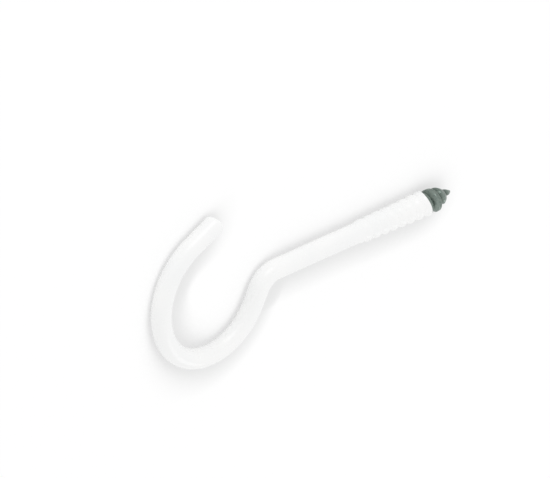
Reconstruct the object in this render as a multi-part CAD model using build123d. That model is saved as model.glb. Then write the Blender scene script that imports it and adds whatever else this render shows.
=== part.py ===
"""White plastic-coated steel screw hook.

All lengths are in millimetres and all angles in degrees. The hook lies flat in the XY plane with +Z up.
+X runs along the screw towards its point, +Y points to the side of the free arm, and the origin is on the
screw's axis where the thread starts, which is where the wall comes when the hook is screwed in.
"""

import math
import os

from build123d import *

# Wire and its coating
wire_diameter = 4.4
wire_end_chamfer = 0.6
coat_thickness = 0.3
coat_end_rounding = 1.2

# Hook, along the middle of the wire
shank_length = 27.0
neck_radius = 6.5
neck_turn = 63.0
neck_straight = 3.0
hook_radius = 16.25
hook_turn = 218.0
free_arm_length = 9.0

# Right-hand wood-screw thread and gimlet point
thread_length = 30.7
thread_pitch = 2.8
thread_crest_diameter = 5.8
thread_root_diameter = 4.2
thread_crest_shares = (0.34, 0.66)
point_length = 5.2
point_end_share = 0.08
tip_length = 0.6
points_per_turn = 14

# Coating over the thread, measured from the plain wire, which grows thicker towards the bare end
ridge_start_thickness = 0.62
ridge_end_thickness = 1.05
groove_start_thickness = 0.25
groove_end_thickness = 0.5
ridge_share = 0.5
bare_length = 8.7

wire_radius = wire_diameter / 2
coat_radius = wire_radius + coat_thickness
coat_end = thread_length - bare_length
tip_start = thread_length - tip_length


def bent_wire(radius, start, arm_length):
    """Shank, neck, leg, hook and free arm, and the sharp rim where the free arm ends."""
    shank = Line((start, 0), (-shank_length, 0))
    neck = JernArc(shank @ 1, shank % 1, neck_radius, neck_turn)
    leg = PolarLine(neck @ 1, neck_straight, direction=neck % 1)
    hook = JernArc(leg @ 1, leg % 1, hook_radius, -hook_turn)
    arm = PolarLine(hook @ 1, arm_length, direction=hook % 1)
    middle = Wire([line.edge() for line in (shank, neck, leg, hook, arm)])
    wire = sweep(Plane.YZ.offset(start) * Circle(radius), middle)
    return wire, wire.edges().filter_by(GeomType.CIRCLE).sort_by_distance(arm @ 1)[0]


def turned(*outline):
    """A body turned on the screw's axis from an outline of places along it and radii."""
    return revolve(make_face(Polyline(*outline, close=True)), Axis.X)


def tapering(diameter):
    """A radius of the bare screw, which shrinks evenly along the point."""

    def radius(x):
        left_share = min((thread_length - x) / point_length, 1)
        return diameter / 2 * (point_end_share + (1 - point_end_share) * left_share)

    return radius


def thickening(start_thickness, end_thickness):
    """A radius of the coating, which changes evenly along the coated thread."""

    def radius(x):
        return wire_radius + start_thickness + (end_thickness - start_thickness) * x / coat_end

    return radius


def spiral(turn, pitch_share, radius):
    """One turn of a right-hand line along the thread, at its share of the pitch and its radius."""
    points = []
    for step in range(points_per_turn + 1):
        turns = turn + step / points_per_turn
        x = thread_pitch * (turns + pitch_share)
        angle = 2 * math.pi * turns
        points.append((x, radius(x) * math.cos(angle), radius(x) * math.sin(angle)))
    return Spline(*points).edge()


def flank(lower, upper):
    """The straight-ruled face between two lines."""
    return Face.make_surface_from_curves(lower, upper)


def closing_faces(groove, corners):
    """A floor from the last groove to the axis, and the cut across the ridge beside it."""
    axis = Edge.make_line((corners[0].X, 0, 0), (corners[-1].X, 0, 0))
    return [flank(axis, groove), Face(Wire.make_polygon([axis @ 0, *corners, axis @ 1]))]


def threaded_bar(lines, start, end):
    """The screw between two places along it, from the lines of its groove and its ridge."""
    first = math.floor(start / thread_pitch) - 1
    last = math.ceil(end / thread_pitch)
    spirals = [spiral(turn, *line) for turn in range(first, last) for line in lines]
    spirals.append(spiral(last, *lines[0]))
    faces = [flank(lower, upper) for lower, upper in zip(spirals, spirals[1:])]
    faces += closing_faces(spirals[0], [line @ 0 for line in spirals[: len(lines) + 1]])
    faces += closing_faces(spirals[-1], [line @ 1 for line in spirals[-len(lines) - 1 :]])
    reach = thread_crest_diameter
    return Solid(Shell(faces)) & turned((start, 0), (start, reach), (end, reach), (end, 0))


def make_steel():
    """The bent wire, plain under its coating, with its bare thread and point."""
    wire, rim = bent_wire(wire_radius, coat_end, free_arm_length)
    root = tapering(thread_root_diameter)
    crest = tapering(thread_crest_diameter)
    lines = [(0, root)] + [(share, crest) for share in thread_crest_shares]
    tip = turned((tip_start, 0), (tip_start, root(tip_start)), (thread_length, 0))
    return chamfer(rim, wire_end_chamfer) + threaded_bar(lines, coat_end, tip_start) + tip


def make_coating(steel):
    """The skin around the wire, closed over the free end and open round the bare screw."""
    skin, rim = bent_wire(coat_radius, 0, free_arm_length + coat_thickness)
    groove = thickening(groove_start_thickness, groove_end_thickness)
    ridge = thickening(ridge_start_thickness, ridge_end_thickness)
    ridged = threaded_bar([(0, groove), (ridge_share, ridge)], 0, coat_end)
    return fillet(rim, coat_end_rounding) + ridged - steel


steel_hook = make_steel()
white_coating = make_coating(steel_hook)

os.makedirs("parts", exist_ok=True)
export_step(steel_hook, "parts/steel_hook.step")
export_step(white_coating, "parts/white_coating.step")
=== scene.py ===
"""Studio view of a white coated screw hook, which lies on a pale floor.

The meshes are in metres in the frame of the CAD part: +X runs along the screw towards its point, +Y points to
the side of the free arm and +Z is up. The named sizes are in millimetres, and angles are in degrees.
"""

import math

import bmesh
import bpy
import numpy as np
from mathutils import Matrix, Vector


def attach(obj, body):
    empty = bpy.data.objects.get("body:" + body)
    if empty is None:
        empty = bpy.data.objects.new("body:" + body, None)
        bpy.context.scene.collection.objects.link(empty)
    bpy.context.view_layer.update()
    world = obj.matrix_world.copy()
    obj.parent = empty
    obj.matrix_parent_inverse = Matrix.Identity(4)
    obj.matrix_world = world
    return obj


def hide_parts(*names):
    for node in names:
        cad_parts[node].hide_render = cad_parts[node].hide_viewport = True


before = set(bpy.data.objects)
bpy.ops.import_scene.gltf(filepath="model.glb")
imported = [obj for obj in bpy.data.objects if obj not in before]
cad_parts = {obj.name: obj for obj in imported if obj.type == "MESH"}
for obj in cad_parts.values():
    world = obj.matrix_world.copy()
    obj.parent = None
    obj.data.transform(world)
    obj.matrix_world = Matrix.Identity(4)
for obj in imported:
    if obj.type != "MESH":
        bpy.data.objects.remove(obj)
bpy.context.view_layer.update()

MM = 0.001

# Wire and its coating
WIRE_RADIUS = 2.2
WIRE_END_CHAMFER = 0.6
COAT_THICKNESS = 0.3
COAT_RADIUS = WIRE_RADIUS + COAT_THICKNESS
COAT_LEAST_THICKNESS = 0.12
COAT_END_ROUNDING = 1.2
ARM_END_SKEW = 0.3
ARM_END_SKEW_ANGLE = 48.0

# Waves in the coating: their height, how far a radian of each reaches, and the short one's start in radians
WAVE_HEIGHT = 0.02
LONG_WAVE_RADIAN = 3.1
SHORT_WAVE_RADIAN = 1.3
SHORT_WAVE_START = 1.0

# Hook, along the middle of the wire
SHANK_LENGTH = 27.0
NECK_RADIUS = 6.5
NECK_TURN = 63.0
NECK_STRAIGHT = 3.0
HOOK_RADIUS = 16.25
HOOK_TURN = 218.0
FREE_ARM_LENGTH = 9.0

# Right-hand thread, which leans and stands out to one side, and its gimlet point
THREAD_LENGTH = 30.7
THREAD_PITCH = 2.8
THREAD_CREST_RADIUS = 2.955
THREAD_ROOT_RADIUS = 1.98
THREAD_OFFSET = 0.28
THREAD_SHARPNESS = 1.15
THREAD_FLAT_FROM = 0.9
THREAD_FROM = 19.0
THREAD_SHIFT = 0.1
THREAD_LEAN = 0.22
RIDGE_LEAN = 0.35
LEAN_ANGLE = 140.0
POINT_LENGTH = 5.25
POINT_END_SHARE = 0.048
TIP_LENGTH = 0.5

# Coating over the thread, measured from the plain wire, with ridges that are lower on one side
GROOVE_START_THICKNESS = 0.38
GROOVE_END_THICKNESS = 0.6
RIDGE_START_HEIGHT = 0.36
RIDGE_END_HEIGHT = 0.62
RIDGE_LOW_SHARE = 0.42
RIDGE_HIGH_ANGLE = 163.0
RIDGE_RISE = 0.8
RIM = 22.05
RIM_SKEW = 0.95
RIM_SKEW_ANGLE = 212.0
RIM_LIP = 0.2

# Mesh steps
AROUND = 96
FINE_STEP = 0.08
WIRE_STEP = 0.5
HIDDEN_STEP = 1.5
ROUNDING_STEPS = 10

# Materials, with noise scales in features per metre
NOISE_DETAIL = 2.0
NOISE_SPAN = (0.3, 0.7)
TONE_SPAN = (0.35, 0.65)
PLASTIC_TONES = ((0.885, 0.89, 0.89), (0.91, 0.91, 0.905))
PLASTIC_TONE_SCALE = 90.0
PLASTIC_ROUGHNESS = (0.2, 0.3)
PLASTIC_ROUGHNESS_SCALE = 400.0
PLASTIC_BUMP = 0.05
PLASTIC_BUMP_SCALE = 160.0
# Steel tones: painted shade darkens the thread's grooves, and the worn ridges are lighter
STEEL_GROOVE_SHADE_TONES = ((0.068, 0.093, 0.08), (0.092, 0.118, 0.096))
STEEL_RIDGE_TONES = ((0.185, 0.23, 0.208), (0.255, 0.3, 0.27))
STEEL_RIDGE_SPAN_LEAST_SHARE = 1 / 3
STEEL_TONE_SCALE = 1800.0
STEEL_TONE_DETAIL = 6.0
STEEL_METALLIC = 0.85
STEEL_ROUGHNESS = (0.12, 0.3)
STEEL_ROUGHNESS_SCALE = 1500.0
STEEL_BUMP = 0.06
STEEL_BUMP_SCALE = 1200.0
STEEL_BUMP_DETAIL = 3.0

# Camera, as the photograph is framed
PHOTO_WIDTH = 550
PHOTO_HEIGHT = 478
PIXELS_PER_MM = 4.254
NECK_PIXEL = (275.7, 269.0)
CAMERA_AZIMUTH = 232.9
CAMERA_ELEVATION = 38.27
CAMERA_ROLL = 116.53
CAMERA_DISTANCE = 500.0

# Light, with powers in watts
WORLD_STRENGTH = 0.95
LAMP_SIZE = 260.0
LAMP_DISTANCE = 500.0
LAMPS = {
    "key": {"azimuth": 182.0, "elevation": 22.0, "power": 0.26},
    "fill": {"azimuth": 20.0, "elevation": 35.0, "power": 0.16},
}

# Floor, and the shadow painted into its colour where the object hides the front from it
FLOOR_SIZE = 3000.0
FLOOR_GLOW_SHARE = 0.8
FLOOR_PAINTED_SHADE = 0.82
FLOOR_SHADE_REACH = 10.0
FLOOR_SHADE_ELEVATION = 30.0
FLOOR_SHADE_SAMPLES = 32
FLOOR_OPEN_SHARES = (0.7, 1.0)

angles = np.linspace(0, 2 * math.pi, AROUND, endpoint=False)


def smooth_step(low, high, value):
    """0 below low, 1 above high and a smooth rise between them."""
    share = np.clip((value - low) / (high - low), 0, 1)
    return share * share * (3 - 2 * share)


def towards(side):
    """How far each point round a ring lies towards the side at an angle, from -1 to 1."""
    return np.cos(angles - math.radians(side))


def along_thread(start, end, x):
    """A size at x that changes evenly from the thread's start to the coating's rim."""
    return start + (end - start) * x / RIM


def rim_places():
    """Where the coating ends round the screw, which is further along on the side of the skew."""
    return RIM - RIM_LIP + RIM_SKEW * towards(RIM_SKEW_ANGLE)


def thread_height(x, lean):
    """Height of the right-hand thread round the screw at x, from 0 to 1, with turns that lean to one side."""
    along = x + lean * towards(LEAN_ANGLE)
    return np.abs(np.sin(math.pi * along / THREAD_PITCH - angles / 2))


def wave(distance):
    """The coating's slight unevenness round the wire, at a distance along it."""
    long_wave = np.sin(distance / LONG_WAVE_RADIAN + angles)
    short_wave = np.sin(distance / SHORT_WAVE_RADIAN - 2 * angles + SHORT_WAVE_START)
    return WAVE_HEIGHT * (long_wave + short_wave) / 2


def coat_radius(x):
    """Radii of the coating at x along the screw, or on the plain wire where x is below 0."""
    groove = along_thread(GROOVE_START_THICKNESS, GROOVE_END_THICKNESS, x)
    high_share = (1 + towards(RIDGE_HIGH_ANGLE)) / 2
    height = along_thread(RIDGE_START_HEIGHT, RIDGE_END_HEIGHT, x)
    height = height * (RIDGE_LOW_SHARE + (1 - RIDGE_LOW_SHARE) * high_share)
    ridged = groove + height * thread_height(x, RIDGE_LEAN) ** 2
    rise = smooth_step(-RIDGE_RISE / 2, RIDGE_RISE / 2, x)
    return COAT_RADIUS + (ridged - COAT_THICKNESS) * rise + wave(x) * (1 - rise)


def steel_radius(x):
    """Radii of the steel at x along the screw."""
    left_share = np.clip((THREAD_LENGTH - x) / POINT_LENGTH, 0, 1)
    taper = POINT_END_SHARE + (1 - POINT_END_SHARE) * left_share
    crest = THREAD_CREST_RADIUS + THREAD_OFFSET * towards(LEAN_ANGLE)
    ridge = thread_height(x - THREAD_SHIFT, THREAD_LEAN) ** THREAD_SHARPNESS
    ridge = np.minimum(ridge / THREAD_FLAT_FROM, 1)
    threaded = (THREAD_ROOT_RADIUS + (crest - THREAD_ROOT_RADIUS) * ridge) * taper
    covered = WIRE_RADIUS + (threaded - WIRE_RADIUS) * smooth_step(THREAD_FROM, THREAD_FROM + RIDGE_RISE, x)
    covered = np.minimum(covered, coat_radius(x) - COAT_LEAST_THICKNESS)
    return covered + (threaded - covered) * smooth_step(0, RIM_LIP, x - rim_places())


def screw_ring(x, radii):
    """A ring of points round the screw's axis, where x and radii may change round the ring."""
    along = np.broadcast_to(x, angles.shape)
    return np.stack((along, radii * np.cos(angles), radii * np.sin(angles)), axis=1)


def wire_stations(step, arm_length):
    """Distances, places and headings along the wire's middle, from the thread's start to the free end."""
    runs = (
        (SHANK_LENGTH, 0),
        (NECK_RADIUS * math.radians(NECK_TURN), 1 / NECK_RADIUS),
        (NECK_STRAIGHT, 0),
        (HOOK_RADIUS * math.radians(HOOK_TURN), -1 / HOOK_RADIUS),
        (arm_length, 0),
    )
    distance = 0
    place = np.zeros(3)
    heading = math.pi
    stations = []
    for length, curvature in runs:
        steps = math.ceil(length / step)
        turn = curvature * length / steps
        chord = length / steps * float(np.sinc(turn / (2 * math.pi)))
        for _ in range(steps):
            middle = heading + turn / 2
            place = place + chord * np.array((math.cos(middle), math.sin(middle), 0))
            heading += turn
            distance -= length / steps
            stations.append((distance, place, heading))
    return stations


def wire_ring(place, heading, radii, ahead=0):
    """A ring of points round the middle of the wire, moved ahead along it."""
    forward = np.array((math.cos(heading), math.sin(heading), 0))
    side = np.array((math.sin(heading), -math.cos(heading), 0))
    around = np.outer(np.cos(angles), side) + np.outer(np.sin(angles), (0, 0, 1))
    radii = np.broadcast_to(radii, angles.shape)
    ahead = np.broadcast_to(ahead, angles.shape)
    return place + np.outer(ahead, forward) + radii[:, None] * around


def add_object(name, data):
    """A new object in the scene."""
    added = bpy.data.objects.new(name, data)
    bpy.context.scene.collection.objects.link(added)
    return added


def skinned(name, rings):
    """A closed mesh piece over a row of rings, with a point in the middle of its first and last ring."""
    mesh = bpy.data.meshes.new(name)
    shape = bmesh.new()
    rows = [[shape.verts.new(Vector(point) * MM) for point in points] for points in rings]
    for near, far in zip(rows, rows[1:]):
        for i in range(AROUND):
            j = (i + 1) % AROUND
            shape.faces.new((near[i], near[j], far[j], far[i]))
    for row, points in ((rows[0], rings[0]), (rows[-1], rings[-1])):
        middle = shape.verts.new(Vector(points.mean(axis=0)) * MM)
        for i in range(AROUND):
            shape.faces.new((row[i], row[(i + 1) % AROUND], middle))
    bmesh.ops.recalc_face_normals(shape, faces=shape.faces)
    for face in shape.faces:
        face.smooth = True
    shape.to_mesh(mesh)
    shape.free()
    piece = add_object(name, mesh)
    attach(piece, "root")
    return piece


def hidden_wire():
    """Rings of the plain wire under the coating, from the chamfered free end to the thread's start."""
    stations = wire_stations(HIDDEN_STEP, FREE_ARM_LENGTH - WIRE_END_CHAMFER)
    rings = [wire_ring(place, heading, WIRE_RADIUS) for _, place, heading in stations]
    _, place, heading = stations[-1]
    rings.append(wire_ring(place, heading, WIRE_RADIUS - WIRE_END_CHAMFER, WIRE_END_CHAMFER))
    return rings[::-1]


def rounded_end(distance, place, heading):
    """Rings that close the coating over the free end, which is a little longer on one side."""
    length = COAT_END_ROUNDING + ARM_END_SKEW * towards(ARM_END_SKEW_ANGLE)
    rings = []
    for step in range(1, ROUNDING_STEPS + 1):
        turn = math.pi / 2 * step / ROUNDING_STEPS
        radii = COAT_RADIUS - COAT_END_ROUNDING * (1 - math.cos(turn)) + wave(distance)
        rings.append(wire_ring(place, heading, radii, length * math.sin(turn)))
    return rings


def make_coating():
    """The white skin: inside, lip round the bare screw, ridges over the thread, hook and rounded free end."""
    rim = rim_places()
    shares = np.linspace(0, 1, math.ceil(RIM / FINE_STEP))
    inside = [screw_ring(rim * share, steel_radius(rim * share)) for share in shares]
    lip = []
    for step in range(1, ROUNDING_STEPS):
        turn = math.pi * step / ROUNDING_STEPS
        across = (1 - math.cos(turn)) / 2
        radii = steel_radius(rim) * (1 - across) + coat_radius(rim) * across
        lip.append(screw_ring(rim + RIM_LIP * math.sin(turn), radii))
    ridged = [screw_ring(rim * share, coat_radius(rim * share)) for share in shares[::-1]]
    stations = wire_stations(WIRE_STEP, FREE_ARM_LENGTH + COAT_THICKNESS - COAT_END_ROUNDING)
    hook = [wire_ring(place, heading, coat_radius(distance)) for distance, place, heading in stations]
    rings = hidden_wire() + inside + lip + ridged + hook + rounded_end(*stations[-1])
    coating = skinned("coating_skin", rings)
    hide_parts("white_coating")
    return coating


def mark_ridge_wear_and_groove_shade(mesh, rings):
    """Stores how far each point of the steel stands out of the groove, 0 in it and 1 on the ridge, which
    blends the steel from painted groove shade to its worn ridge tone.
    """
    least = STEEL_RIDGE_SPAN_LEAST_SHARE * (THREAD_CREST_RADIUS - THREAD_ROOT_RADIUS)
    heights = []
    for points in rings:
        radii = np.linalg.norm(points - points.mean(axis=0), axis=1)
        heights.append(1 - (radii.max() - radii) / max(np.ptp(radii), least))
    ends = (heights[0].mean(), heights[-1].mean())
    values = np.concatenate([*heights, ends]).astype(np.float32)
    mesh.attributes.new("ridge_wear_and_groove_shade", "FLOAT", "POINT").data.foreach_set("value", np.clip(values, 0, 1))


def make_steel():
    """The bent wire, with its bare thread and point."""
    tip_start = THREAD_LENGTH - TIP_LENGTH
    screw = [screw_ring(x, steel_radius(x)) for x in np.arange(0, tip_start, FINE_STEP)]
    tip = []
    for step in range(ROUNDING_STEPS + 1):
        share = step / (ROUNDING_STEPS + 1)
        tip.append(screw_ring(tip_start + TIP_LENGTH * share, steel_radius(tip_start) * (1 - share)))
    rings = hidden_wire() + screw + tip
    steel = skinned("steel_wire", rings)
    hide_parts("steel_hook")
    mark_ridge_wear_and_groove_shade(steel.data, rings)
    return steel


def new_material(name):
    """A node material and its parts."""
    material = bpy.data.materials.new(name)
    material.use_nodes = True
    nodes = material.node_tree.nodes
    return material, nodes, material.node_tree.links, nodes["Principled BSDF"]


def noise(nodes, links, scale, detail=NOISE_DETAIL):
    """Noise over the object's own coordinates."""
    place = nodes.new("ShaderNodeTexCoord")
    texture = nodes.new("ShaderNodeTexNoise")
    texture.inputs["Scale"].default_value = scale
    texture.inputs["Detail"].default_value = detail
    links.new(place.outputs["Object"], texture.inputs["Vector"])
    return texture.outputs["Fac"]


def mapped(nodes, links, value, span, result, interpolation="LINEAR"):
    """A value taken from one span to another, and kept inside it."""
    node = nodes.new("ShaderNodeMapRange")
    node.interpolation_type = interpolation
    for name, limit in zip(("From Min", "From Max", "To Min", "To Max"), (*span, *result)):
        node.inputs[name].default_value = limit
    links.new(value, node.inputs["Value"])
    return node.outputs["Result"]


def blend_colours(nodes, links, value, tones):
    """A colour between two tones, by a noise value."""
    ramp = nodes.new("ShaderNodeValToRGB")
    for element, position, tone in zip(ramp.color_ramp.elements, TONE_SPAN, tones):
        element.position = position
        element.color = (*tone, 1)
    links.new(value, ramp.inputs["Fac"])
    return ramp.outputs["Color"]


def bump(nodes, links, height, distance):
    """A bumped normal."""
    node = nodes.new("ShaderNodeBump")
    node.inputs["Strength"].default_value = 1.0
    node.inputs["Distance"].default_value = distance * MM
    links.new(height, node.inputs["Height"])
    return node.outputs["Normal"]


def white_plastic():
    """Dipped plastic: glossy and a little wavy from its dip."""
    material, nodes, links, shader = new_material("white_plastic")
    tone = blend_colours(nodes, links, noise(nodes, links, PLASTIC_TONE_SCALE), PLASTIC_TONES)
    polish = noise(nodes, links, PLASTIC_ROUGHNESS_SCALE)
    roughness = mapped(nodes, links, polish, NOISE_SPAN, PLASTIC_ROUGHNESS)
    normal = bump(nodes, links, noise(nodes, links, PLASTIC_BUMP_SCALE), PLASTIC_BUMP)
    links.new(tone, shader.inputs["Base Color"])
    links.new(roughness, shader.inputs["Roughness"])
    links.new(normal, shader.inputs["Normal"])
    return material


def bare_steel():
    """Grey-green steel, dulled by rolling: lighter where its ridges are worn, and darker in the grooves with
    painted shade.
    """
    material, nodes, links, shader = new_material("bare_steel")
    # Painted shade: the grooves get the dark tones, and the worn ridges get the light ones
    ridge_wear_and_groove_shade = nodes.new("ShaderNodeAttribute")
    ridge_wear_and_groove_shade.attribute_name = "ridge_wear_and_groove_shade"
    marks = noise(nodes, links, STEEL_TONE_SCALE, STEEL_TONE_DETAIL)
    tone = nodes.new("ShaderNodeMix")
    tone.data_type = "RGBA"
    links.new(ridge_wear_and_groove_shade.outputs["Fac"], tone.inputs["Factor"])
    links.new(blend_colours(nodes, links, marks, STEEL_GROOVE_SHADE_TONES), tone.inputs["A"])
    links.new(blend_colours(nodes, links, marks, STEEL_RIDGE_TONES), tone.inputs["B"])
    polish = noise(nodes, links, STEEL_ROUGHNESS_SCALE)
    roughness = mapped(nodes, links, polish, NOISE_SPAN, STEEL_ROUGHNESS)
    normal = bump(nodes, links, noise(nodes, links, STEEL_BUMP_SCALE, STEEL_BUMP_DETAIL), STEEL_BUMP)
    links.new(tone.outputs["Result"], shader.inputs["Base Color"])
    links.new(roughness, shader.inputs["Roughness"])
    links.new(normal, shader.inputs["Normal"])
    shader.inputs["Metallic"].default_value = STEEL_METALLIC
    return material


def aim(azimuth, elevation):
    """The direction from the object towards an azimuth, which is 0 at -Y and 90 at +X, and an elevation."""
    turn = math.radians(azimuth)
    rise = math.radians(elevation)
    return Vector((math.sin(turn) * math.cos(rise), -math.cos(turn) * math.cos(rise), math.sin(rise)))


def combined(nodes, links, operation, value, other):
    """The result of an operation on two values, of which the second may be a plain number."""
    node = nodes.new("ShaderNodeMath")
    node.operation = operation
    links.new(value, node.inputs[0])
    if isinstance(other, float):
        node.inputs[1].default_value = other
    else:
        links.new(other, node.inputs[1])
    return node.outputs["Value"]


def background_rays(nodes, links):
    """1 for rays that show a background, straight, mirrored or through glass, and 0 for rays that light."""
    rays = nodes.new("ShaderNodeLightPath")
    seen = rays.outputs["Is Camera Ray"]
    for kind in ("Is Glossy Ray", "Is Transmission Ray"):
        seen = combined(nodes, links, "MAXIMUM", seen, rays.outputs[kind])
    return seen


def floor_white():
    """A white floor that keeps the shadow, with painted shade that makes it greyer where the object hides the
    front from it.
    """
    material, nodes, links, shader = new_material("floor_white")
    # Painted shadow: ambient occlusion towards the front darkens the floor's colour and glow near the object
    front = nodes.new("ShaderNodeCombineXYZ")
    for name, value in zip("XYZ", aim(CAMERA_AZIMUTH, FLOOR_SHADE_ELEVATION)):
        front.inputs[name].default_value = value
    openness = nodes.new("ShaderNodeAmbientOcclusion")
    openness.samples = FLOOR_SHADE_SAMPLES
    openness.inputs["Distance"].default_value = FLOOR_SHADE_REACH * MM
    links.new(front.outputs["Vector"], openness.inputs["Normal"])
    shades = (FLOOR_PAINTED_SHADE, 1.0)
    shade = mapped(nodes, links, openness.outputs["AO"], FLOOR_OPEN_SHARES, shades, "SMOOTHSTEP")
    links.new(shade, shader.inputs["Base Color"])
    shader.inputs["Roughness"].default_value = 1.0
    shader.inputs["Specular IOR Level"].default_value = 0.0
    glow = nodes.new("ShaderNodeEmission")
    links.new(shade, glow.inputs["Color"])
    glow_share = combined(nodes, links, "MULTIPLY", background_rays(nodes, links), FLOOR_GLOW_SHARE)
    mix = nodes.new("ShaderNodeMixShader")
    links.new(glow_share, mix.inputs["Fac"])
    links.new(shader.outputs["BSDF"], mix.inputs[1])
    links.new(glow.outputs["Emission"], mix.inputs[2])
    links.new(mix.outputs["Shader"], nodes["Material Output"].inputs["Surface"])
    return material


def make_floor(coating):
    """A plain floor that touches the coating's lowest places on the thread and on the hook."""
    points = np.array([vertex.co for vertex in coating.data.vertices])
    lowest = points[points[:, 2].argmin()]
    hook = points[points[:, 0] < -SHANK_LENGTH * MM] - lowest
    mesh = bpy.data.meshes.new("floor")
    half = FLOOR_SIZE / 2 * MM
    corners = [(-half, -half, 0), (half, -half, 0), (half, half, 0), (-half, half, 0)]
    mesh.from_pydata(corners, [], [(0, 1, 2, 3)])
    mesh.materials.append(floor_white())
    floor = add_object("floor", mesh)
    floor.rotation_euler = (0, -math.atan((hook[:, 2] / hook[:, 0]).max()), 0)
    floor.location = lowest


def make_light():
    """Even white light from all round, a softbox on the side of the free arm and a weaker one opposite."""
    world = bpy.data.worlds.new("studio")
    world.use_nodes = True
    nodes, links = world.node_tree.nodes, world.node_tree.links
    backdrop = nodes["Background"]
    backdrop.inputs["Color"].default_value = (1, 1, 1, 1)
    strength = combined(nodes, links, "MAXIMUM", background_rays(nodes, links), WORLD_STRENGTH)
    links.new(strength, backdrop.inputs["Strength"])
    bpy.context.scene.world = world
    for name, setting in LAMPS.items():
        direction = aim(setting["azimuth"], setting["elevation"])
        lamp = add_object(name, bpy.data.lights.new(name, "AREA"))
        lamp.data.shape = "DISK"
        lamp.data.size = LAMP_SIZE * MM
        lamp.data.energy = setting["power"]
        lamp.location = (direction * LAMP_DISTANCE + Vector((-SHANK_LENGTH, 0, 0))) * MM
        lamp.rotation_mode = "QUATERNION"
        lamp.rotation_quaternion = direction.to_track_quat("Z", "Y")


def view_axes():
    """The camera's right, up and backward directions."""
    roll = math.radians(CAMERA_ROLL)
    back = aim(CAMERA_AZIMUTH, CAMERA_ELEVATION)
    level = Vector((0, 0, 1)).cross(back).normalized()
    right = math.cos(roll) * level + math.sin(roll) * back.cross(level)
    return right, back.cross(right), back


def make_camera():
    """A camera with a parallel view, and the neck where the photograph has it."""
    right, up, back = view_axes()
    across = (PHOTO_WIDTH / 2 - NECK_PIXEL[0]) / PIXELS_PER_MM
    above = (NECK_PIXEL[1] - PHOTO_HEIGHT / 2) / PIXELS_PER_MM
    place = Vector((-SHANK_LENGTH, 0, 0)) + across * right + above * up + CAMERA_DISTANCE * back
    camera = add_object("camera", bpy.data.cameras.new("camera"))
    camera.data.type = "ORTHO"
    camera.data.ortho_scale = PHOTO_WIDTH / PIXELS_PER_MM * MM
    camera.matrix_world = Matrix.Translation(place * MM) @ Matrix((right, up, back)).transposed().to_4x4()
    bpy.context.scene.camera = camera


coating = make_coating()
coating.data.materials.append(white_plastic())
make_steel().data.materials.append(bare_steel())
make_floor(coating)
make_light()
make_camera()
bpy.context.scene.view_settings.view_transform = "Standard"
